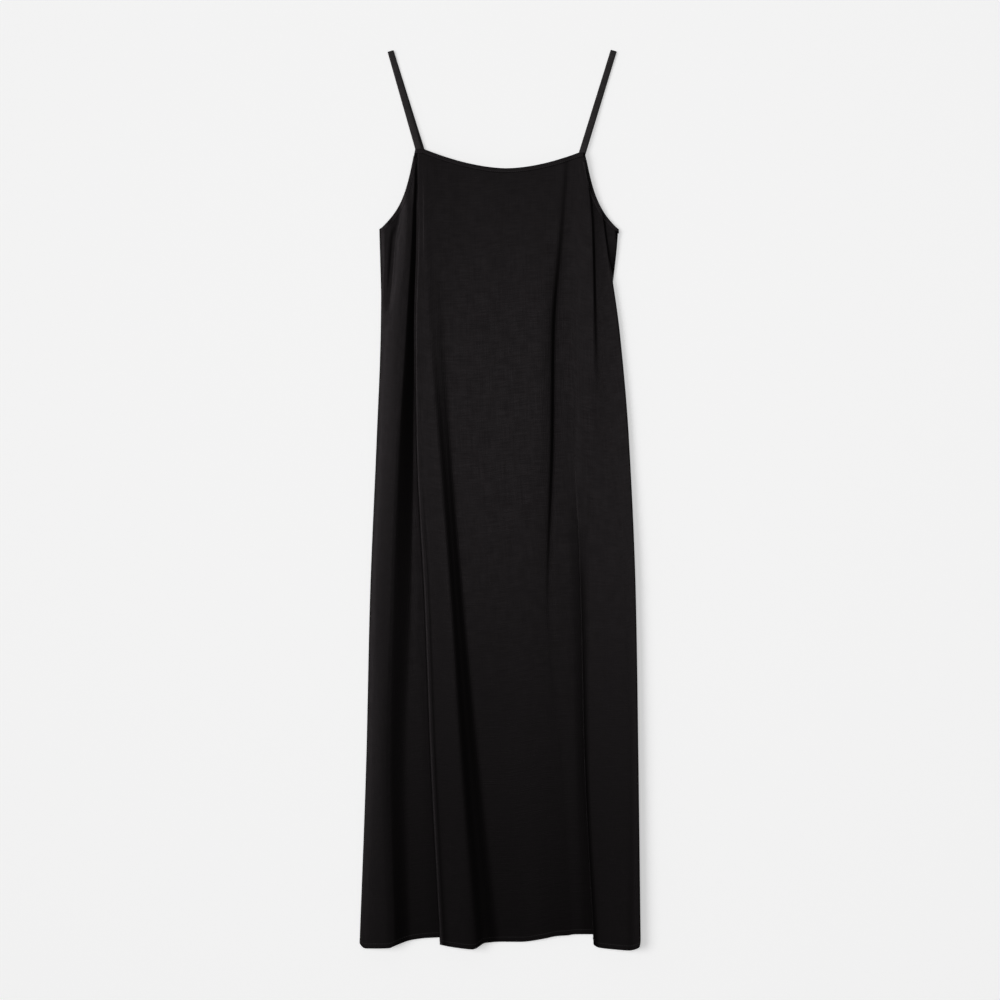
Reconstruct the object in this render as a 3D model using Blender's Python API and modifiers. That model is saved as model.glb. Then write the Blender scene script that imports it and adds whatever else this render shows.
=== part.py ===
"""A long black slip dress, laid flat on its back.

The dress lies in the XY plane: +X to the right as it is looked down on, +Y from the hem towards the
straps, +Z up off the surface. The origin is on that surface, under the middle of the dress.

Both panels are cloth walls. Each is a set of fold lines that run from its top edge down to its hem, and
a cross section is the smooth curve through those lines at one height along the dress.

Lengths are in millimetres, in a plan whose y is 0 halfway between the straps' folds and the hem as they
are seen from above, until a point is put into a mesh, which is in metres from the origin.
"""

import math
from typing import NamedTuple

import bmesh
import bpy
import numpy as np

MM = 0.001

# The middle of the dress's box, in the plan that the lengths below are measured in.
BOX_MIDDLE = np.array([-0.5, 4.2, 0.0])

# Cloth.
PANEL_THICKNESS = 1.2
BAND_THICKNESS = 1.0
STRAP_THICKNESS = 1.2
BAND_GAP = 0.7

# Edge bands and straps.
BAND_WIDTH = 6.5
STRAP_WIDTH = 9.2
STRAP_SEWN_LENGTH = 9.0
STRAP_FOLD_RADIUS = 0.9

# Places along the dress where the fold lines are given.
LEVELS = {"yoke": 508, "underarm": 392, "bust": 240, "waist": 88, "thigh": -144, "knee": -376, "hem": -640}

# The back panel stands this much off the surface beside its bound edges, on the bands that lie under it.
BACK_EDGE_LIFT = 1.6
BACK_EDGE_LIFT_REACH = 26.0

# Width of the panels' faces between fold lines that lie far apart, and their rows, which lie closer
# together towards the top edge.
FRONT_COLUMN_WIDTH = 15.0
BACK_COLUMN_WIDTH = 22.0
FRONT_ROWS = 30
BACK_ROWS = 26
ROW_CROWDING = 1.35

# The top edge is looked for up to this far above the yoke, by halving.
TOP_EDGE_ROOM = 10.0
HALVINGS = 24
# Points between two fold lines when a section's height is read.
SECTION_SAMPLES = 12
# The armholes' mean lean, sideways for each unit along the dress.
ARMHOLE_LEAN = 0.4
# Clear of the bands' inner edges before the back comes down.
BACK_EDGE_LIFT_CLEARANCE = 4.0

# Faces of the bands and straps.
BAND_POINTS_ACROSS = 4
NECK_BAND_STATIONS = 32
ARMHOLE_BAND_STATIONS = 24
UNDERARM_STEPS = 3
UNDERARM_BULGE = 0.9
STRAP_LEG_STATIONS = 14
STRAP_FOLD_STATIONS = 6

# An armhole's band starts this far below the neck band, and turns to face along the dress in the last part
# of its run.
BAND_END_GAP = 2.0
BAND_TURN_START = 0.6
NECK_BAND_END_GAP = 0.2

# A strap's legs come down to their resting height over these lengths.
FRONT_LEG_SETTLE = 120.0
BACK_LEG_SETTLE = 34.0

BLACK_CLOTH = (0.0103, 0.0086, 0.0094, 1.0)
PANEL_ROUGHNESS = 0.55
TRIM_ROUGHNESS = 0.5


class Side(NamedTuple):
    """One side of the dress: its strap joint, its underarm and the scoop of its armhole.

    The back's joint lies `back_inset` further in than the front's.
    """

    name: str
    sign: int
    joint: tuple
    underarm: tuple
    straight: float
    scoop: float
    back_inset: float


LEFT = Side("left", -1, (-124.5, 508.5), (-174.6, 392), straight=28.4, scoop=21.7, back_inset=3.0)
RIGHT = Side("right", 1, (122.4, 503.0), (170.9, 392), straight=27.6, scoop=20.9, back_inset=0.4)


class Neckline(NamedTuple):
    """The scooped neckline: its lowest point and, on each side, its half width, rise and fullness."""

    low: tuple
    half_width: dict
    rise: dict
    fullness: dict


NECKLINE = Neckline(
    low=(9.0, 482.3),
    half_width={"left": 120.0, "right": 104.7},
    rise={"left": 26.2, "right": 21.7},
    fullness={"left": 1.75, "right": 1.5},
)


class FoldLine(NamedTuple):
    """A line down a panel: its x and its height at each of LEVELS, and the y where it meets the hem."""

    name: str
    across: tuple
    height: tuple
    hem: float


# The front's outer face. Levels: yoke, underarm, bust, waist, thigh, knee, hem.
FRONT_LINES = (
    FoldLine("seam_left", (-177, -174.6, -171.5, -172, -178, -183, -190),
             (4.4, 4.8, 2.8, 2.8, 2.8, 2.8, 2.8), -640),
    FoldLine("side_left", (-169, -172.6, -173.9, -179.4, -189.1, -195.1, -203.4),
             (5, 6, 5.2, 5.2, 5.2, 5, 4.8), -640),
    FoldLine("roll_left_out", (-150, -152.5, -166.5, -173, -181.5, -187, -195),
             (6.5, 7.6, 8.2, 8.6, 8.8, 8.2, 7.2), -645),
    FoldLine("roll_left_crest", (-138, -142, -146, -151.5, -160, -167.5, -159),
             (8.3, 10.2, 13, 13.8, 13, 12.4, 13.2), -647),
    FoldLine("roll_left_in", (-129.3, -133, -138, -146, -154.5, -159.5, -153),
             (8.4, 10, 12.6, 13.2, 12.4, 11.6, 12.8), -644),
    FoldLine("roll_left_foot", (-127.2, -127.3, -127.6, -126.4, -128.8, -134.2, -128),
             (8.2, 7.4, 6.6, 5.2, 5.4, 5.2, 5.4), -635),
    FoldLine("trough_left", (-126, -125.4, -126, -123.6, -122.5, -120, -112),
             (7.6, 6.6, 5.8, 4.8, 5.2, 5, 5), -632),
    FoldLine("pleat_foot", (-125.2, -123.2, -122.5, -118, -105, -95, -81),
             (7.8, 6.6, 5.8, 4.4, 3.6, 3.4, 3.4), -631),
    FoldLine("pleat_edge", (-124, -123.2, -124.8, -122.4, -110.2, -101.3, -87),
             (8.6, 8.8, 8.8, 8.6, 8.4, 8.2, 7.8), -640),
    FoldLine("pleat_crest", (-113, -111, -104, -92, -74, -60, -40),
             (9.2, 10, 10.5, 11.2, 12.6, 13.2, 14.3), -646),
    FoldLine("pleat_flank", (-102, -98, -91, -79.5, -62.5, -44, -20.5),
             (8.8, 9.2, 9.3, 8.8, 9.6, 8.6, 9.2), -639),
    FoldLine("pleat_toe", (-87, -82, -75, -67.5, -49, -26, 2.5), (8, 8.3, 7.7, 6.9, 6.4, 4.4, 4.2), -638),
    FoldLine("centre_left", (-44, -44, -40, -34, -14, 6, 30), (6.5, 6.8, 7.2, 6.8, 6.3, 4.6, 4.6), -637),
    FoldLine("centre", (11, 8, 11, 14, 27, 43, 64), (6, 6.8, 7.2, 7.4, 6.6, 5.6, 6.2), -632),
    FoldLine("centre_right", (69, 61, 55, 50, 48, 62, 82), (6.8, 7.6, 8.6, 8.4, 6.6, 5.6, 5.8), -628),
    FoldLine("crease", (93, 83, 74.6, 72.9, 65.5, 84, 100), (7.8, 7.8, 7.4, 7.3, 6.3, 5.2, 5.2), -627),
    FoldLine("crease_fold", (102, 93, 79.4, 78, 71.5, 92, 106), (7.3, 6.6, 5.7, 5.6, 5.8, 5, 5), -626),
    FoldLine("gore", (109, 102, 93, 94, 101, 108, 118), (7.6, 6.4, 5, 5, 5.4, 5.4, 5.2), -626),
    FoldLine("tuck_foot", (113.5, 110, 104, 106, 119.4, 124.8, 138.4),
             (8.2, 6.8, 4.8, 4.8, 3.6, 3.4, 3.4), -627),
    FoldLine("tuck_edge", (117, 118, 113, 109, 116.4, 121.6, 135), (8.7, 7.8, 5.2, 4.8, 7, 7.1, 7.2), -640),
    FoldLine("shoulder_right", (121, 132.4, 134.4, 131, 127.4, 129, 142.6),
             (9.1, 8.9, 7.8, 6, 5.8, 5.6, 5.6), -646),
    FoldLine("cleft_right", (124.5, 136.9, 142, 152, 176, 186, 185.5),
             (7.4, 7, 6.8, 6.4, 10.6, 12.4, 12.8), -648),
    FoldLine("roll_right_crest", (130, 146.5, 158, 168, 185, 191, 192.5),
             (6.2, 6.6, 7.1, 7.5, 11.4, 12.8, 13.4), -648),
    FoldLine("roll_right_out", (137, 150.9, 171.2, 185, 193.7, 197.8, 200.4),
             (5.4, 6.6, 8, 9.4, 13.4, 14.4, 15.2), -645),
    FoldLine("side_right", (145, 153.4, 172.6, 186.5, 195.3, 199.3, 202),
             (4.6, 5.2, 6.6, 8, 11.6, 12.6, 13.2), -635),
    FoldLine("seam_right", (174, 170.9, 158, 168, 180, 183, 186),
             (4.4, 4.8, 2.8, 2.8, 2.8, 2.8, 2.8), -636),
)

# The back's underside, which lies on the surface between the low folds that follow the front's.
BACK_LINES = (
    FoldLine("seam_left", (-177, -174.6, -171.5, -172, -178, -183, -190), (0, 0, 0, 0, 0, 0, 0), -639),
    FoldLine("fold_left", (-150, -150, -149, -152, -161, -166, -168), (0, 0, 1.5, 2.5, 3, 3, 2.5), -638),
    FoldLine("fold_left_foot", (-130, -132, -134, -136, -144, -149, -146), (0, 0, 0, 0, 0, 0, 0), -634),
    FoldLine("fold_middle_start", (-112, -112, -111, -106, -95, -83, -70), (0, 0, 0, 0, 0, 0, 0), -630),
    FoldLine("fold_middle", (-98, -98, -99, -93, -80, -65, -50), (0, 0, 1, 1.5, 2.5, 3, 3), -635),
    FoldLine("fold_middle_foot", (-82, -82, -84, -76, -60, -42, -24), (0, 0, 0, 0, 0, 0, 0), -634),
    FoldLine("centre", (-10, -10, -6, 0, 10, 20, 35), (0, 0, 0, 0, 0, 0, 0), -632),
    FoldLine("centre_right", (55, 55, 60, 65, 72, 82, 95), (0, 0, 0, 0, 0, 0, 0), -626),
    FoldLine("fold_right_start", (108, 112, 118, 123, 129, 138, 150), (0, 0, 0, 0, 0, 0, 0), -626),
    FoldLine("fold_right", (135, 138, 138, 146, 153, 160, 168), (0, 0, 1.5, 2, 2.5, 3, 4), -638),
    FoldLine("seam_right", (174, 170.9, 158, 168, 180, 183, 186), (0, 0, 0, 0, 0, 0, 0), -635),
)


class Strap(NamedTuple):
    """A strap folded in half: the middles (x, y, z) of its two sewn bases and (x, y) of its fold."""

    name: str
    front_base: tuple
    back_base: tuple
    fold: tuple


STRAPS = (
    Strap(
        "strap_left", front_base=(-119.4, 508.6, 6.3), back_base=(-116.4, 504.0, 3.8), fold=(-159.1, 650.5)
    ),
    Strap(
        "strap_right", front_base=(116.4, 501.8, 5.5), back_base=(118.6, 498.0, 3.8), fold=(163.8, 651.0)
    ),
)
# The back neckline lies this much below the front's.
BACK_NECK_DROP = 4.0


# Curves --------------------------------------------------------------------------------------------------


def slopes_of(knots, values):
    """Slopes, along the last axis, of a smooth curve that never swings past the values it goes through."""
    rate = np.diff(values, axis=-1) / np.diff(knots)
    before, after = rate[..., :-1], rate[..., 1:]
    total = before + after
    turning = before * after <= 0
    inner = np.where(turning, 0.0, 2 * before * after / np.where(turning, 1.0, total))
    return np.concatenate([rate[..., :1], inner, rate[..., -1:]], axis=-1)


def read_curve(knots, values, at):
    """Value at each of `at` on the smooth curve through `values`, given once or as one row for each."""
    knots = np.asarray(knots, float)
    at = np.atleast_1d(np.asarray(at, float))
    values = np.broadcast_to(np.asarray(values, float), (len(at), len(knots)))
    slopes = slopes_of(knots, values)
    at = np.clip(at, knots[0], knots[-1])
    start = np.clip(np.searchsorted(knots, at, side="right") - 1, 0, len(knots) - 2)
    rows = np.arange(len(at))
    span = knots[start + 1] - knots[start]
    t = (at - knots[start]) / span
    rising = t * t * (3 - 2 * t)
    return (
        values[rows, start] * (1 - rising)
        + values[rows, start + 1] * rising
        + slopes[rows, start] * span * t * (1 - t) ** 2
        - slopes[rows, start + 1] * span * t * t * (1 - t)
    )


def ease(t):
    """A smooth step from 0 to 1."""
    t = np.clip(t, 0.0, 1.0)
    return t * t * (3 - 2 * t)


# Outline of the top edge ---------------------------------------------------------------------------------


def armhole_x(side, y, is_back=False):
    """Where the armhole's edge is at y: nearly straight below the strap, then scooped out to the underarm."""
    s = np.clip((side.joint[1] - y) / (side.joint[1] - side.underarm[1]), 0.0, 1.0)
    out = side.straight * s + side.scoop * s**4
    inset = side.back_inset * (1 - s) if is_back else 0.0
    return side.joint[0] + side.sign * (out - inset)


def neckline_y(x, is_back=False):
    """Where the neckline's edge is at x; outside the strap joints it stays at their height."""
    side = LEFT if x < NECKLINE.low[0] else RIGHT
    reach = min(abs(x - NECKLINE.low[0]) / NECKLINE.half_width[side.name], 1.0)
    rise = NECKLINE.rise[side.name] * reach ** NECKLINE.fullness[side.name]
    return NECKLINE.low[1] + rise - (BACK_NECK_DROP if is_back else 0.0)


class Panel:
    """A cloth panel: the points of its sheet, read from its fold lines."""

    def __init__(self, lines, is_back, edge_lift):
        """Take the fold lines, and how far the bands under its bound edges lift it."""
        self.lines = lines
        self.is_back = is_back
        self.edge_lift = edge_lift
        self.level_y = np.array(sorted(LEVELS.values()), float)

    def section(self, u, y):
        """Points (x, z) of the sheet at fold-line position u and height y along the dress."""
        knots = np.arange(len(self.lines))
        across = np.stack([read_curve(self.level_y, line.across[::-1], y) for line in self.lines], axis=-1)
        height = np.stack([read_curve(self.level_y, line.height[::-1], y) for line in self.lines], axis=-1)
        return read_curve(knots, across, u), read_curve(knots, height, u)

    def inside(self, x, y):
        """Whether a plan point is within the armholes and below the neckline."""
        left = armhole_x(LEFT, y, self.is_back)
        right = armhole_x(RIGHT, y, self.is_back)
        return left <= x <= right and y <= neckline_y(x, self.is_back)

    def top_y(self, u):
        """Where the line at fold-line position u starts on the top edge, found by halving."""
        if u in (0, len(self.lines) - 1):
            return float(LEVELS["underarm"])
        low, high = float(LEVELS["underarm"]), LEVELS["yoke"] + TOP_EDGE_ROOM
        for _ in range(HALVINGS):
            middle = (low + high) / 2
            x = self.section([u], [middle])[0][0]
            low, high = (middle, high) if self.inside(x, middle) else (low, middle)
        return low

    def hem_y(self, u):
        """Where the line at fold-line position u meets the hem."""
        return read_curve(np.arange(len(self.lines)), [line.hem for line in self.lines], [u])[0]

    def columns(self, width):
        """Fold-line positions of the mesh's columns: every line, and more where two lie far apart."""
        positions = [0.0]
        for index, (line, following) in enumerate(zip(self.lines, self.lines[1:])):
            parts = max(1, round(math.hypot(following.across[-1] - line.across[-1],
                                            following.height[-1] - line.height[-1]) / width))
            positions += [index + (part + 1) / parts for part in range(parts)]
        return positions

    def grid(self, width, rows):
        """Points of the sheet as rows from the top edge to the hem, in millimetres."""
        columns = self.columns(width)
        fraction = np.linspace(0, 1, rows + 1) ** ROW_CROWDING
        grid = np.zeros((rows + 1, len(columns), 3))
        for column, u in enumerate(columns):
            top, hem = self.top_y(u), self.hem_y(u)
            y = top + (hem - top) * fraction
            x, z = self.section([u] * len(y), y)
            grid[:, column, 0] = x
            grid[:, column, 1] = y
            grid[:, column, 2] = z + [self.lift(*plan) for plan in zip(x, y)]
        return grid

    def edge_distance(self, x, y):
        """Roughly how far a plan point is from the bound edge."""
        slant = math.hypot(1, ARMHOLE_LEAN)
        beside_left = (x - armhole_x(LEFT, y, self.is_back)) / slant
        beside_right = (armhole_x(RIGHT, y, self.is_back) - x) / slant
        below_underarm = max(LEVELS["underarm"] - y, 0.0)
        sides = math.hypot(max(min(beside_left, beside_right), 0.0), below_underarm)
        return min(sides, max(neckline_y(x, self.is_back) - y, 0.0))

    def lift(self, x, y):
        """How far the sheet is held off the surface by the band under its bound edge."""
        far = (self.edge_distance(x, y) - BAND_WIDTH - BACK_EDGE_LIFT_CLEARANCE) / BACK_EDGE_LIFT_REACH
        return self.edge_lift * (1 - ease(far))

    def height_at(self, x, y):
        """Height of the sheet over a plan point: the highest, where it folds over itself."""
        u = np.linspace(0, len(self.lines) - 1, SECTION_SAMPLES * len(self.lines))
        across, height = self.section(u, np.full(len(u), y))
        before, after = across[:-1], across[1:]
        crossing = (np.minimum(before, after) <= x) & (x <= np.maximum(before, after))
        if not crossing.any():
            nearest = int(np.argmin(np.abs(across - x)))
            return float(height[nearest]) + self.lift(x, y)
        return float(np.maximum(height[:-1], height[1:])[crossing].max()) + self.lift(x, y)


FRONT = Panel(FRONT_LINES, is_back=False, edge_lift=0.0)
BACK = Panel(BACK_LINES, is_back=True, edge_lift=BACK_EDGE_LIFT)


# Meshes --------------------------------------------------------------------------------------------------


def cloth_material(name, roughness):
    """A near-black woven cloth."""
    material = bpy.data.materials.new(name)
    material.use_nodes = True
    shader = material.node_tree.nodes["Principled BSDF"]
    shader.inputs["Base Color"].default_value = BLACK_CLOTH
    shader.inputs["Roughness"].default_value = roughness
    shader.inputs["Metallic"].default_value = 0.0
    return material


def add_wall(name, collection, grid, thickness, side, roughness):
    """Make a closed cloth wall from a grid of points.

    The grid's faces look to the left of its columns' order, seen from its first row. `side` is -1 where the
    wall lies behind that face, 1 where it lies in front of it and 0 where it lies on both sides.
    """
    sheet = bmesh.new()
    points = [[sheet.verts.new((point - BOX_MIDDLE) * MM) for point in row] for row in grid]
    for row, following in zip(points, points[1:]):
        for column in range(len(row) - 1):
            sheet.faces.new((row[column], following[column], following[column + 1], row[column + 1]))
    mesh = bpy.data.meshes.new(name)
    sheet.to_mesh(mesh)
    sheet.free()
    mesh.shade_smooth()
    piece = bpy.data.objects.new(name, mesh)
    piece.data.materials.append(cloth_material(name, roughness))
    collection.objects.link(piece)
    wall = piece.modifiers.new("wall", "SOLIDIFY")
    wall.thickness = thickness * MM
    wall.offset = side
    wall.use_quality_normals = True
    return piece


# Edge bands ----------------------------------------------------------------------------------------------


def band_station(panel, edge, inward, gap):
    """Points from an edge point to a band's width inside it, moved off the panel's face by the gap."""
    station = []
    for distance in np.linspace(0.0, BAND_WIDTH, BAND_POINTS_ACROSS):
        x, y = edge[0] + inward[0] * distance, edge[1] + inward[1] * distance
        station.append((x, y, panel.height_at(x, y) + gap))
    return station


def inward_of(points, index, turn):
    """Unit plan vector across a line of plan points, turned to the side given."""
    before, after = points[max(index - 1, 0)], points[min(index + 1, len(points) - 1)]
    along = np.array(after) - np.array(before)
    return turn * np.array([-along[1], along[0]]) / np.hypot(*along)


def neck_band(panel, gap):
    """Grid of the band along a neckline, from one strap joint to the other."""
    start = armhole_x(LEFT, LEFT.joint[1], panel.is_back)
    end = armhole_x(RIGHT, RIGHT.joint[1], panel.is_back)
    xs = np.linspace(start + NECK_BAND_END_GAP, end - NECK_BAND_END_GAP, NECK_BAND_STATIONS)
    edge = [(x, neckline_y(x, panel.is_back)) for x in xs]
    stations = [band_station(panel, point, inward_of(edge, i, -1), gap) for i, point in enumerate(edge)]
    return np.array(stations).transpose(1, 0, 2)


def armhole_stations(panel, side, gap):
    """Stations of an armhole's band on one panel, from below the neck band to the underarm."""
    start = side.joint[1] - BACK_NECK_DROP - BAND_WIDTH - BAND_END_GAP
    ys = np.linspace(start, side.underarm[1], ARMHOLE_BAND_STATIONS)
    edge = [(float(armhole_x(side, y, panel.is_back)), y) for y in ys]
    stations = []
    for index in range(len(edge)):
        across = inward_of(edge, index, -side.sign)
        done = index / (len(edge) - 1)
        settle = float(ease((done - BAND_TURN_START) / (1 - BAND_TURN_START)))
        inward = across * (1 - settle) + np.array([0.0, -1.0]) * settle
        stations.append(band_station(panel, edge[index], inward / np.hypot(*inward), gap))
    return stations


def armhole_band(side):
    """Grid of the band round an armhole: down the front's edge, round the underarm and up the back's."""
    front = armhole_stations(FRONT, side, BAND_GAP)
    back = armhole_stations(BACK, side, -BACK_EDGE_LIFT + BAND_THICKNESS)
    top, bottom = front[-1], back[-1]
    corner = []
    for step in range(1, UNDERARM_STEPS + 1):
        angle = math.pi * step / (UNDERARM_STEPS + 1)
        corner.append([
            (a[0] + side.sign * UNDERARM_BULGE * math.sin(angle), (a[1] + b[1]) / 2,
             (a[2] + b[2]) / 2 + (a[2] - b[2]) / 2 * math.cos(angle))
            for a, b in zip(top, bottom)
        ])
    return np.array(front + corner + back[::-1]).transpose(1, 0, 2)


# Straps --------------------------------------------------------------------------------------------------


def strap_leg(base, fold, fold_height, settle):
    """Centre points of one leg, from its sewn end to just short of the fold."""
    base, base_height, fold = np.array(base[:2]), base[2], np.array(fold)
    along = (fold - base) / np.hypot(*(fold - base))
    start = base - along * STRAP_SEWN_LENGTH
    end = fold - along * (STRAP_FOLD_RADIUS + STRAP_THICKNESS / 2)
    points = []
    for fraction in np.linspace(0, 1, STRAP_LEG_STATIONS):
        plan = start + (end - start) * fraction
        from_base = max(float((plan - base) @ along), 0.0)
        height = base_height + (fold_height - base_height) * float(ease(from_base / settle))
        points.append(np.array([plan[0], plan[1], height]))
    return points


def strap_grid(strap):
    """Grid of a strap's middle sheet: up the front leg, over the fold and down the back leg."""
    back_height = STRAP_THICKNESS / 2
    front_height = back_height + 2 * STRAP_FOLD_RADIUS
    front = strap_leg(strap.front_base, strap.fold, front_height, FRONT_LEG_SETTLE)
    back = strap_leg(strap.back_base, strap.fold, back_height, BACK_LEG_SETTLE)
    along = np.array([*(np.array(strap.fold) - np.array(strap.front_base[:2])), 0.0])
    along /= np.linalg.norm(along)
    across = np.array([-along[1], along[0], 0.0])
    turn = []
    for step in range(1, STRAP_FOLD_STATIONS):
        angle = math.pi * step / STRAP_FOLD_STATIONS
        height = back_height + STRAP_FOLD_RADIUS * (1 + math.cos(angle))
        middle = (front[-1] + back[-1]) / 2
        turn.append(np.array([middle[0], middle[1], height]) + along * STRAP_FOLD_RADIUS * math.sin(angle))
    path = front + turn + back[::-1]
    half = across * STRAP_WIDTH / 2
    return np.array([[point + half, point - half] for point in path])


# Build ---------------------------------------------------------------------------------------------------


def clear_scene():
    """Remove every object that is already in the scene."""
    for old in list(bpy.data.objects):
        bpy.data.objects.remove(old, do_unlink=True)


def build():
    """Make every piece of the dress."""
    clear_scene()
    dress = bpy.data.collections.new("slip_dress")
    bpy.context.scene.collection.children.link(dress)

    front, back = FRONT.grid(FRONT_COLUMN_WIDTH, FRONT_ROWS), BACK.grid(BACK_COLUMN_WIDTH, BACK_ROWS)
    add_wall("front_panel", dress, front, PANEL_THICKNESS, -1, PANEL_ROUGHNESS)
    add_wall("back_panel", dress, back, PANEL_THICKNESS, 1, PANEL_ROUGHNESS)

    under_back = -BACK_EDGE_LIFT + BAND_THICKNESS
    add_wall("neck_band_front", dress, neck_band(FRONT, BAND_GAP), BAND_THICKNESS, 1, TRIM_ROUGHNESS)
    add_wall("neck_band_back", dress, neck_band(BACK, under_back), BAND_THICKNESS, -1, TRIM_ROUGHNESS)
    for side in (LEFT, RIGHT):
        grid = armhole_band(side)
        if side is LEFT:
            grid = grid[:, ::-1]
        add_wall(f"armhole_band_{side.name}", dress, grid, BAND_THICKNESS, 1, TRIM_ROUGHNESS)
    for strap in STRAPS:
        add_wall(strap.name, dress, strap_grid(strap), STRAP_THICKNESS, 0, TRIM_ROUGHNESS)


build()
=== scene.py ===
"""Looks of a long black slip dress that lies flat on its back on a pale floor.

The dress lies in the XY plane: +X to the right as it is looked down on, +Y from the hem towards the
straps, +Z up off the floor. Meshes and the studio are in metres, and all else is in millimetres where
no other unit is named. Each panel is a sheet that runs through fold lines, from its top edge down to its
hem, and everything sewn on a panel is laid on the panel's own mesh.
"""

import logging
import math
from dataclasses import dataclass, field
from enum import Enum
from typing import Any, Optional, Sequence

import bpy
import numpy as np
from bpy.types import ID, Material, Mesh, Node, NodeSocket, NodeTree, Object
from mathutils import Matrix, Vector
from mathutils.bvhtree import BVHTree


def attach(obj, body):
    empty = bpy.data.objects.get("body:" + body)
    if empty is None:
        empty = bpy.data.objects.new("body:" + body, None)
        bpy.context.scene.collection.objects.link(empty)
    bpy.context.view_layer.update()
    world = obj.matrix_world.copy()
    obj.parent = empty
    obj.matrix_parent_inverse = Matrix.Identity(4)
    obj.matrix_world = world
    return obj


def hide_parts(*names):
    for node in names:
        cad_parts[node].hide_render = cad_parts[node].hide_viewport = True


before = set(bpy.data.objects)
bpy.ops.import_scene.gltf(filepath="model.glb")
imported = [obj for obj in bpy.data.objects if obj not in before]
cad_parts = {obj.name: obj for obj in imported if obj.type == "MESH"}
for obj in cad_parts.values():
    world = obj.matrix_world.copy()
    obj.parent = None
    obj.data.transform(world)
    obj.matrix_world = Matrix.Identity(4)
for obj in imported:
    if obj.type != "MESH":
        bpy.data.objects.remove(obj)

LOG = logging.getLogger("slip_dress")
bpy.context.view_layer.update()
Array = np.ndarray

MM = 0.001
LEVELS = {"yoke": 508, "underarm": 392, "bust": 240, "waist": 88, "thigh": -144, "knee": -376, "hem": -640}
# The middle of the dress's box, in the plan that the tables are measured in.
BOX_MIDDLE = np.array([-0.5, 4.2, 0.0])


class Face(Enum):
    """Which face of a laid panel a trim lies on, by the way that the face looks."""

    UP = 1
    DOWN = -1


# --- Shapes of the cut ---


@dataclass(frozen=True)
class FoldLine:
    """A line down a panel: its x and height at each of LEVELS, and the y where it meets the hem."""

    name: str
    across: tuple[float, ...]
    height: tuple[float, ...]
    hem: float


def fold_lines(*rows: tuple[Any, ...]) -> tuple[FoldLine, ...]:
    """Fold lines from rows of their name, x, height and hem."""
    return tuple(FoldLine(*row) for row in rows)


@dataclass(frozen=True)
class Side:
    """One side of the dress: strap joint, underarm, the scoop of its armhole, and the back's inset."""

    name: str
    sign: int
    joint: tuple[float, float]
    underarm: tuple[float, float]
    straight: float
    scoop: float
    back_inset: float

    def armhole_x(self, y: Array, is_back: bool) -> Array:
        """Where the armhole's edge is at y.

        Args:
            y: Places along the dress.
            is_back: Whether the back's edge is asked for.

        Returns:
            The edge's x at each y.
        """
        s = np.clip((self.joint[1] - y) / (self.joint[1] - self.underarm[1]), 0.0, 1.0)
        inset = self.back_inset * (1 - s) if is_back else 0.0
        return self.joint[0] + self.sign * (self.straight * s + self.scoop * s**4 - inset)


@dataclass(frozen=True)
class Neckline:
    """The scooped neckline: lowest point, and on each side its half width, rise (mm) and fullness."""

    low: tuple[float, float] = (9.0, 479.3)
    half_width: tuple[float, float] = (120.0, 104.7)
    rise: tuple[float, float] = (27.8, 22.4)
    fullness: tuple[float, float] = (1.72, 1.78)
    back_drop: float = 4.0

    def edge_y(self, x: Array, is_back: bool) -> Array:
        """Where the neckline's edge is at x.

        Args:
            x: Places across the dress.
            is_back: Whether the back's edge is asked for.

        Returns:
            The edge's y at each x.
        """
        is_right = (np.asarray(x) >= self.low[0]).astype(int)
        reach = np.minimum(np.abs(x - self.low[0]) / np.array(self.half_width)[is_right], 1.0)
        rise = np.array(self.rise)[is_right] * reach ** np.array(self.fullness)[is_right]
        return self.low[1] + rise - (self.back_drop if is_back else 0.0)


@dataclass(frozen=True)
class Crease:
    """A small soft trough in the cloth, or a ridge where depth is below 0, tapered at its ends.

    path holds plan points in mm; width is its half width and depth its depth in the middle.
    """

    name: str
    path: tuple[tuple[float, float], ...]
    width: float
    depth: float

    def height(self, x: Array, y: Array) -> Array:
        """How much the crease raises the cloth.

        Args:
            x: Plan x of each point.
            y: Plan y of each point.

        Returns:
            The height to add at each point.
        """
        points = np.array(self.path, float)
        starts = lengths_along(points)
        nearest = np.full(x.shape, np.inf)
        along = np.zeros(x.shape)
        for start, end, begun, length in zip(points, points[1:], starts, np.diff(starts)):
            way = (end - start) / length
            t = np.clip((x - start[0]) * way[0] + (y - start[1]) * way[1], 0.0, length)
            gap = np.hypot(x - start[0] - way[0] * t, y - start[1] - way[1] * t)
            closer = gap < nearest
            nearest = np.where(closer, gap, nearest)
            along = np.where(closer, (begun + t) / starts[-1], along)
        taper = np.sin(np.pi * np.clip(along, 0.0, 1.0)) ** 0.7
        return -self.depth * taper * np.exp(-((nearest / self.width) ** 2))


LEFT = Side("left", -1, (-122.3, 508.5), (-173.2, 392), straight=23.2, scoop=27.7, back_inset=3.0)
RIGHT = Side("right", 1, (122.4, 503.0), (170.9, 392), straight=23.5, scoop=25.0, back_inset=0.4)
NECKLINE = Neckline()

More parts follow.
